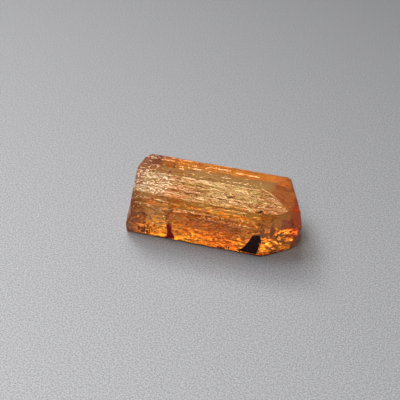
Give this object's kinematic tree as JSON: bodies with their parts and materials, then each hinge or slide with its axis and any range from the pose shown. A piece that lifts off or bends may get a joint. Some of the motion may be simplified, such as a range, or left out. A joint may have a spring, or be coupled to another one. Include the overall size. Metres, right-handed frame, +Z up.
{
  "type": "topaz crystal",
  "caption": "Rough orange topaz crystal: a grooved prism lying on a long face, with slanting end faces at one end and a stepped cleavage break at the other.",
  "frame": {"origin": "middle of the crystal's box, on the plane of the face it rests on", "axes": "+X along the crystal's long axis toward the faced end, +Y toward its back, +Z up from the resting face"},
  "size_m": [0.0218, 0.0094, 0.0065],
  "materials": {
    "topaz": "clear orange to straw crystal with a vitreous gloss, grooved along its length, frosted with etch pits near the broken end, dark specks and cleavage cracks inside"
  },
  "bodies": {
    "root": {"topaz_crystal": "topaz"}
  },
  "joints": []
}
